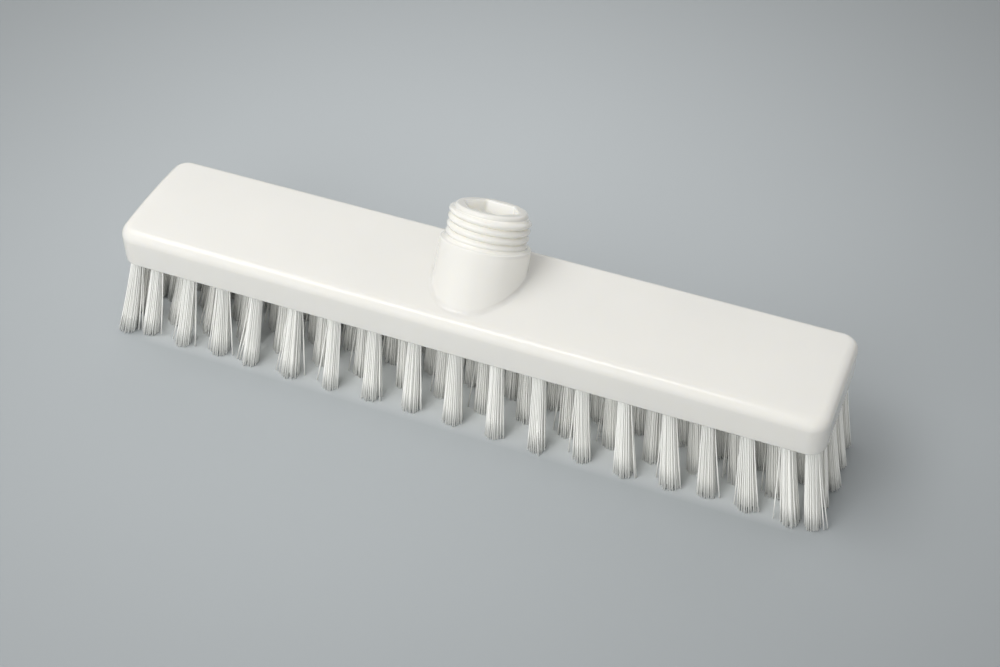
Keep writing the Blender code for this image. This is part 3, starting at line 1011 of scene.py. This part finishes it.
    def build(self, holes: Floats, place: Floats, finish: MouldedPlastic) -> Piece:
        """Make the whole moulding.

        Args:
            holes: Centres of the tuft holes in plan, in the block's own space.
            place: Where the middle of the block's underside is.
            finish: What it is made of.

        Returns:
            The finished piece.
        """
        for add_part in (self.bore, self.nose, self.thread, self.collar, self.block):
            add_part()
        rings = np.concatenate(self.levels)
        pole = rings.shape[0] * rings.shape[1]
        middle = self.about_axis(np.array([[self.bore_floor_at]]), np.array([[0.0]]))[0, :1]
        points = np.concatenate([rings.reshape(-1, 3), middle])
        ring = np.arange(self.columns)
        bore_floor = np.stack([np.full_like(ring, pole), ring, np.roll(ring, -1)], axis=-1)
        added, below = self.underside(holes, pole - self.columns + ring, points)
        points = np.concatenate([points, added])
        faces = [ring_quads(len(rings), self.columns), bore_floor, *below]
        channels = {}
        for channel, values in self.values.items():
            channels[channel] = np.zeros(len(points))
            channels[channel][:pole] = np.concatenate(values).ravel()
        # The middle of the bore's floor gets full painted light too.
        channels[Channel.PAINTED_LIGHT][pole] = 1.0
        piece = mesh_piece("moulded_block", points + place, faces, channels)
        piece.data.set_sharp_from_angle(angle=self.sharp_angle)
        piece.data.materials.append(finish.material())
        return piece


# The tufts


@dataclass(frozen=True)
class TuftPlan:
    """The tufts of one column in plan: the middle of each one's mouth and of its tips, and how far it opens.

    The pattern holds the places of its filaments in a tuft of radius 1.
    """

    mouth: Floats
    tip: Floats
    opening: Floats
    pattern: Floats


@dataclass
class TuftField:
    """All tufts: five staggered rows, in columns across the brush that fan out towards the tips."""

    # Where the tufts stand
    block_length: float = 0.300
    block_width: float = 0.055
    rows: int = 5
    row_inset: float = 0.0061
    end_inset: float = 0.0053
    spaces: tuple[float, ...] = (1.0, 1.0, 1.0, 1.0, 1.0, 0.873, 0.873, 0.873, 0.532)
    bristle_length: float = 0.042
    fan_height_along: float = 0.808
    fan_height_across: float = 0.420
    root_depth: float = 0.0032

    # Filaments, and the tuft that they fill
    filaments: int = 60
    filament_radius: float = 0.00031
    sides: int = 4
    lattice_reach: int = 8
    lattice_shift: tuple[float, float] = (0.21, 0.13)
    bundle_radius: float = 0.0029
    tip_radius: float = 0.0049
    tip_fill: tuple[float, float] = (0.90, 0.74)
    opening_scatter: float = 0.10
    tip_lean: float = -0.0020
    tip_wander: float = 0.0006
    tip_jitter: float = 0.00012
    tip_margin: tuple[float, float] = (0.0034, 0.0004)
    trim_scatter: float = 0.0011
    trim_power: float = 1.8

    # The way of a filament from its hole to its tip, and the filaments that leave their tuft
    levels: tuple[float, ...] = (0.0, 0.16, 0.34, 0.52, 0.76, 1.0)
    straight_part: float = 0.9
    bow: float = 0.00004
    stray_share: float = 0.006
    stray_reach: tuple[float, float] = (0.003, 0.008)
    stray_across: float = 0.6
    loose_share: float = 0.3
    loose_from: float = 0.84
    loose_reach: tuple[float, float] = (0.0010, 0.0028)

    # Solid hearts of the tufts
    heart_share: float = 0.75
    heart_points: int = 14
    heart_end: float = 0.93
    heart_tint: float = 0.5

    seed: int = 20

    def row_positions(self) -> Floats:
        """Where the rows stand, from the front."""
        outer = self.block_width / 2 - self.row_inset
        return np.linspace(-outer, outer, self.rows)

    def columns(self) -> list[tuple[float, Floats]]:
        """Place of every column and of the tufts in it, from left to right.

        Columns of the front, middle and back rows alternate with columns of the rows between them, and the
        end columns hold every row.

        Returns:
            For each column its x and the y of its tufts.
        """
        across = self.row_positions()
        reach = self.block_length / 2 - self.end_inset
        stops = reach * np.cumsum((0.0, *self.spaces)) / sum(self.spaces)
        right = [(0.0, across[0::2])]
        for before, after in zip(stops[:-2], stops[1:-1]):
            right += [(float(before + after) / 2, across[1::2]), (float(after), across[0::2])]
        right.append((float(stops[-1]), across))
        return [(-x, y) for x, y in reversed(right[1:])] + right

    def holes(self) -> Floats:
        """Plan centres of every tuft hole."""
        return np.concatenate([np.stack([np.full(len(y), x), y], axis=-1) for x, y in self.columns()])

    def packing(self) -> Floats:
        """Places of the filaments in a tuft of radius 1: the innermost points of a triangular lattice.

        Returns:
            One row for each filament.
        """
        step = np.arange(-self.lattice_reach, self.lattice_reach + 1)
        first, second = np.meshgrid(step, step)
        lattice = np.stack([first + second / 2, second * math.sqrt(3) / 2], axis=-1).reshape(-1, 2)
        lattice = lattice + self.lattice_shift
        order = np.argsort(np.linalg.norm(lattice, axis=1))
        chosen = lattice[order[: self.filaments]]
        return chosen / np.linalg.norm(chosen, axis=1).max()

    def fan(self) -> Floats:
        """How many times further out a tuft's tips are than its mouth, along and across the block."""
        return 1 + self.bristle_length / np.array([self.fan_height_along, self.fan_height_across])

    def tuft_plan(self, along: float, across: Floats, chance: np.random.Generator) -> TuftPlan:
        """Set out the tufts of one column.

        Args:
            along: Place of the column along the block.
            across: Places of its tufts across the block.
            chance: Source of the small differences.

        Returns:
            The tufts in plan.
        """
        tufts = len(across)
        turn = chance.uniform(0, 2 * math.pi, tufts)[:, None]
        x, y = self.packing().T
        cos, sin = np.cos(turn), np.sin(turn)
        pattern = np.stack([x * cos - y * sin, x * sin + y * cos], axis=-1)
        mouth = np.stack([np.full(tufts, along), across], axis=-1)[:, None]
        tip = mouth * self.fan() + [self.tip_lean, 0] + chance.normal(0, self.tip_wander, (tufts, 1, 2))
        opening = (self.tip_radius - self.filament_radius) * np.array(self.tip_fill)
        opening = opening * chance.normal(1, self.opening_scatter, (tufts, 1, 2))
        return TuftPlan(mouth, tip, opening, pattern)

    def ends(self, plan: TuftPlan, pattern: Floats) -> tuple[Floats, Floats]:
        """Where lines that fill a pattern leave their holes and where they end, in plan.

        Args:
            plan: The tufts.
            pattern: Places in a tuft of radius 1.

        Returns:
            The starts, mouth + bundle radius * place, and the ends, tip + opening * place.
        """
        start = plan.mouth + pattern * (self.bundle_radius - self.filament_radius)
        return start, plan.tip + pattern * plan.opening

    def way_out(self, share: Floats) -> Floats:
        """Share of the way out at a share s of the length: 0.9 s + 0.1 s^2, most of it near the tips."""
        return self.straight_part * share + (1 - self.straight_part) * share**2

    def from_hole(self, start: Floats, plan: Floats, height: Floats) -> Floats:
        """Join places in plan and heights to points, after a first point up in the hole.

        Args:
            start: Where each line leaves its hole, in plan.
            plan: Places of the levels, with the levels in the second axis.
            height: Height at each place over the floor.

        Returns:
            The points, with one level more.
        """
        plan = np.concatenate([start[:, None], plan], axis=1)
        inside = np.full_like(height[:, :1], self.bristle_length + self.root_depth)
        return np.concatenate([plan, np.concatenate([inside, height], axis=1)[..., None]], axis=-1)

    def centre_lines(self, plan: TuftPlan, chance: np.random.Generator) -> Floats:
        """Centre lines of the filaments of one column.

        A filament leaves its hole straight down, then runs out with a slight bow sin(pi s), where s is the
        share of the free length. Some at the sides of a tuft hang loose, and a few stray from it.

        Args:
            plan: The tufts in plan.
            chance: Source of the small differences.

        Returns:
            Filaments, levels and xyz.
        """
        root, tip = self.ends(plan, plan.pattern)
        tip = tip + chance.normal(0, self.tip_jitter, tip.shape)
        root, tip, side = root.reshape(-1, 2), tip.reshape(-1, 2), plan.pattern.reshape(-1, 2)[:, :1]
        count = len(root)
        stray = chance.random(count) < self.stray_share
        heading = chance.uniform(0, 2 * math.pi, count)
        amount = chance.uniform(*self.stray_reach, count) * stray
        astray = np.stack([np.cos(heading), self.stray_across * np.sin(heading)], axis=-1)
        tip = tip + amount[:, None] * astray
        loose = (chance.random((count, 1)) < self.loose_share) & (np.abs(side) > self.loose_from)
        tip = tip + np.sign(side) * loose * chance.uniform(*self.loose_reach, (count, 1)) * [1, 0]
        outer = np.array([self.block_length, self.block_width]) / 2 - [self.end_inset, self.row_inset]
        reach = outer * self.fan() + self.tip_radius + self.tip_margin - self.filament_radius
        tip = np.clip(tip, -reach, reach)

        free = np.array(self.levels)
        bow = chance.normal(0, self.bow, (count, 1, 2)) * np.sin(math.pi * free)[:, None]
        places = root[:, None] + (tip - root)[:, None] * self.way_out(free)[:, None] + bow
        length = self.bristle_length - self.trim_scatter * chance.random(count) ** self.trim_power
        return self.from_hole(root, places, self.bristle_length - length[:, None] * free)

    def filament_tubes(self, plan: TuftPlan, chance: np.random.Generator) -> tuple[Floats, Floats]:
        """Rings of the filaments: centre line + radius * (cos a, sin a, 0).

        Args:
            plan: The tufts in plan.
            chance: Source of the small differences.

        Returns:
            Filaments, levels, points of a ring and xyz, and the tint of each filament.
        """
        line = self.centre_lines(plan, chance)
        tint = chance.random((len(line), 1, 1))
        turn = np.arange(self.sides) * 2 * math.pi / self.sides + chance.uniform(0, math.pi, (len(line), 1))
        ring = np.stack([np.cos(turn), np.sin(turn), 0 * turn], axis=-1) * self.filament_radius
        return line[:, :, None] + ring[:, None], tint

    def hearts(self, plan: TuftPlan) -> Floats:
        """Rings of the solid cone inside each tuft, which stands for the filaments out of sight in there.

        Args:
            plan: The tufts in plan.

        Returns:
            Tufts, levels, points of a ring and xyz.
        """
        turn = np.linspace(0, 2 * math.pi, self.heart_points, endpoint=False)
        circle = self.heart_share * np.stack([np.cos(turn), np.sin(turn)], axis=-1)
        start, end = self.ends(plan, circle)
        down = self.heart_end * np.array(self.levels)
        places = start[:, None] + (end - start)[:, None] * self.way_out(down)[:, None, None]
        height = np.broadcast_to(self.bristle_length * (1 - down)[:, None], places.shape[:3])
        return self.from_hole(start, places, height)

    def column(self, number: int, place: Floats, material: Material) -> Piece:
        """Make the tufts of one column, all their filaments and hearts in one mesh.

        Args:
            number: Which column, from 1 at the left end.
            place: Where the middle of the block's underside is.
            material: The filaments' material.

        Returns:
            The finished piece.
        """
        along, across = self.columns()[number - 1]
        chance = np.random.default_rng(self.seed + number)
        plan = self.tuft_plan(along, across, chance)
        filaments, tint = self.filament_tubes(plan, chance)
        share = np.append(0.0, self.levels)[:, None]
        points, faces, down, tints = np.empty((0, 3)), [], [], []
        for tubes, tube_tint in ((filaments, tint), (self.hearts(plan), self.heart_tint)):
            faces += [block + len(points) for block in tube_faces(*tubes.shape[:3])]
            points = np.concatenate([points, tubes.reshape(-1, 3)])
            down.append(np.broadcast_to(share, tubes.shape[:3]).ravel())
            tints.append(np.broadcast_to(tube_tint, tubes.shape[:3]).ravel())
        channels = {Channel.ALONG: np.concatenate(down), Channel.TINT: np.concatenate(tints)}
        lift = place - [0, 0, self.bristle_length]
        piece = mesh_piece(f"tufts_{number:02d}", points + lift, faces, channels)
        # Walls and ends take turns in the list of faces: the walls are smooth and the ends flat.
        smooth = np.repeat([True, False, True, False], [len(block) for block in faces])
        piece.data.polygons.foreach_set("use_smooth", smooth)
        piece.data.materials.append(material)
        return piece


# Surroundings


@dataclass(frozen=True)
class Lamp:
    """A soft lamp, hung by its azimuth from the front and its height above the floor, both as angles.

    It is a disc, or an ellipse that is longer along the brush by its stretch.
    """

    name: str
    azimuth: float
    elevation: float
    power: float
    size: float
    distance: float
    mirrored: bool = True
    stretch: float = 1.0

    def hang(self) -> None:
        """Make the lamp and aim it at the middle of the floor."""
        azimuth, elevation = math.radians(self.azimuth), math.radians(self.elevation)
        level = math.cos(elevation)
        away = Vector((math.sin(azimuth) * level, -math.cos(azimuth) * level, math.sin(elevation)))
        lamp = bpy.data.lights.new(self.name, "AREA")
        lamp.shape = "ELLIPSE"
        lamp.size = self.size * self.stretch
        lamp.size_y = self.size
        lamp.energy = self.power
        hung = bpy.data.objects.new(self.name, lamp)
        across = (Vector((1.0, 0.0, 0.0)) - away * away.x).normalized()
        turned = Matrix((across, away.cross(across), away)).transposed().to_4x4()
        hung.matrix_world = Matrix.Translation(away * self.distance) @ turned
        hung.visible_glossy = self.mirrored
        bpy.context.scene.collection.objects.link(hung)


@dataclass(frozen=True)
class Wall:
    """A bright side of the sky: strength * (direction . way), where that product is positive."""

    way: tuple[float, float, float]
    strength: float


@dataclass
class Studio:
    """A plain light blue-grey floor among soft bright walls, with five soft lamps.

    The key lamp hangs high on the left, and the front lamp and the low fill near the camera's side. Two lamps
    further off are the ones that the shiny plastic mirrors, along the front edge and at the collar's foot.
    """

    floor_size: float = 8.0
    floor_cells: int = 8
    walls: tuple[Wall, ...] = (
        Wall((0.0, -1.0, 0.0), 0.62),
        Wall((0.0, 1.0, 0.0), 1.05),
        Wall((1.0, 0.0, 0.0), 0.48),
        Wall((-1.0, 0.0, 0.0), 0.12),
    )
    lamps: tuple[Lamp, ...] = (
        Lamp("key", azimuth=-80.0, elevation=62.0, power=2.9, size=0.7, distance=1.0, mirrored=False),
        Lamp("edge_glint", azimuth=-39.0, elevation=60.5, power=8.2, size=0.7, distance=2.2, stretch=1.7),
        Lamp("foot_glint", azimuth=-80.0, elevation=59.0, power=2.8, size=0.6, distance=2.2),
        Lamp("front", azimuth=-8.0, elevation=44.0, power=3.1, size=0.7, distance=1.0, mirrored=False),
        Lamp("low_fill", azimuth=-15.0, elevation=14.0, power=2.4, size=0.7, distance=1.0, mirrored=False),
    )
    camera_place: tuple[float, float, float] = (0.2037, -0.4778, 0.5192)
    camera_yaw: float = math.radians(22.123)
    camera_pitch: float = math.radians(43.373)
    camera_roll: float = math.radians(-0.122)
    camera_lens: float = 62.68
    camera_sensor: float = 36.0
    camera_sees: tuple[float, float] = (0.01, 50.0)

    def floor(self, finish: PaleFloor) -> Piece:
        """Lay the floor, a square sheet on z = 0: (i, j) * cell size, with its middle at the origin.

        Args:
            finish: What it is made of.

        Returns:
            The floor.
        """
        points_a_side = self.floor_cells + 1
        side = np.linspace(-self.floor_size / 2, self.floor_size / 2, points_a_side)
        x, y = np.meshgrid(side, side, indexing="ij")
        points = np.stack([x, y, 0 * x], axis=-1).reshape(-1, 3)
        here = np.arange(x.size).reshape(x.shape)[:-1, :-1].ravel()
        beyond = here + points_a_side
        quads = np.stack([here, beyond, beyond + 1, here + 1], axis=-1)
        floor = mesh_piece("floor", points, [quads], {})
        floor.data.materials.append(finish.material())
        return floor

    def lights(self) -> None:
        """Hang the lamps and light the walls of the sky."""
        for lamp in self.lamps:
            lamp.hang()
        world = bpy.data.worlds.new("soft_walls")
        world.use_nodes = True
        wiring = Wiring(world.node_tree)
        heading = wiring.node("ShaderNodeTexCoord").outputs["Generated"]
        total: object = 0.0
        for wall in self.walls:
            facing = wiring.node("ShaderNodeVectorMath", operation="DOT_PRODUCT")
            wiring.feed(facing.inputs[0], heading)
            wiring.feed(facing.inputs[1], wall.way)
            held = wiring.maths("MAXIMUM", facing.outputs["Value"], 0.0)
            total = wiring.maths("MULTIPLY_ADD", held, wall.strength, total)
        sky = world.node_tree.nodes["Background"]
        sky.inputs["Color"].default_value = opaque((1.0, 1.0, 1.0))
        wiring.feed(sky.inputs["Strength"], total)
        bpy.context.scene.world = world

    def camera(self) -> None:
        """Set the camera at the photograph's angle: rolled, then raised from straight down, then turned."""
        roll = Matrix.Rotation(self.camera_roll, 4, "Z")
        slope = Matrix.Rotation(math.pi / 2 - self.camera_pitch, 4, "X")
        heading = Matrix.Rotation(self.camera_yaw, 4, "Z")
        lens = bpy.data.cameras.new("photo_camera")
        lens.lens = self.camera_lens
        lens.sensor_width = self.camera_sensor
        lens.clip_start, lens.clip_end = self.camera_sees
        camera = bpy.data.objects.new("photo_camera", lens)
        camera.matrix_world = Matrix.Translation(self.camera_place) @ heading @ slope @ roll
        bpy.context.scene.collection.objects.link(camera)
        bpy.context.scene.camera = camera


@dataclass
class DeckBrush:
    """The whole brush: the moulding in place of the block, and filaments in place of the tuft columns."""

    moulding: Moulding = field(default_factory=Moulding)
    tufts: TuftField = field(default_factory=TuftField)
    plastic: MouldedPlastic = field(default_factory=MouldedPlastic)
    fibre: BristleFibre = field(default_factory=BristleFibre)

    def build(self) -> None:
        """Build each piece, let it ride on the frame and say which node it stands for."""
        low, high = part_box("block")
        place = np.array([(low.x + high.x) / 2, low.y + self.moulding.width / 2, low.z])
        block = self.moulding.build(self.tufts.holes(), place, self.plastic)
        self.settle(block, "block")
        material = self.fibre.material()
        for number in range(1, len(self.tufts.columns()) + 1):
            piece = self.tufts.column(number, place, material)
            self.settle(piece, f"tuft_column_{number:02d}")

    def settle(self, piece: Piece, node: str) -> None:
        """Tie a piece to the frame and report it.

        Args:
            piece: The finished piece.
            node: The CAD node that it stands for.
        """
        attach(piece, "root")
        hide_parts(node)
        LOG.info("%s stands for %s: %d faces", piece.name, node, len(piece.data.polygons))


def main() -> None:
    """Load the frame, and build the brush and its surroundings."""
    logging.basicConfig(level=logging.INFO, format="%(name)s: %(message)s")
    for thing in list(bpy.data.objects):
        bpy.data.objects.remove(thing, do_unlink=True)
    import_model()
    DeckBrush().build()
    studio = Studio()
    studio.floor(PaleFloor())
    studio.lights()
    studio.camera()
    bpy.context.scene.view_settings.view_transform = "Standard"


if __name__ == "__main__":
    main()
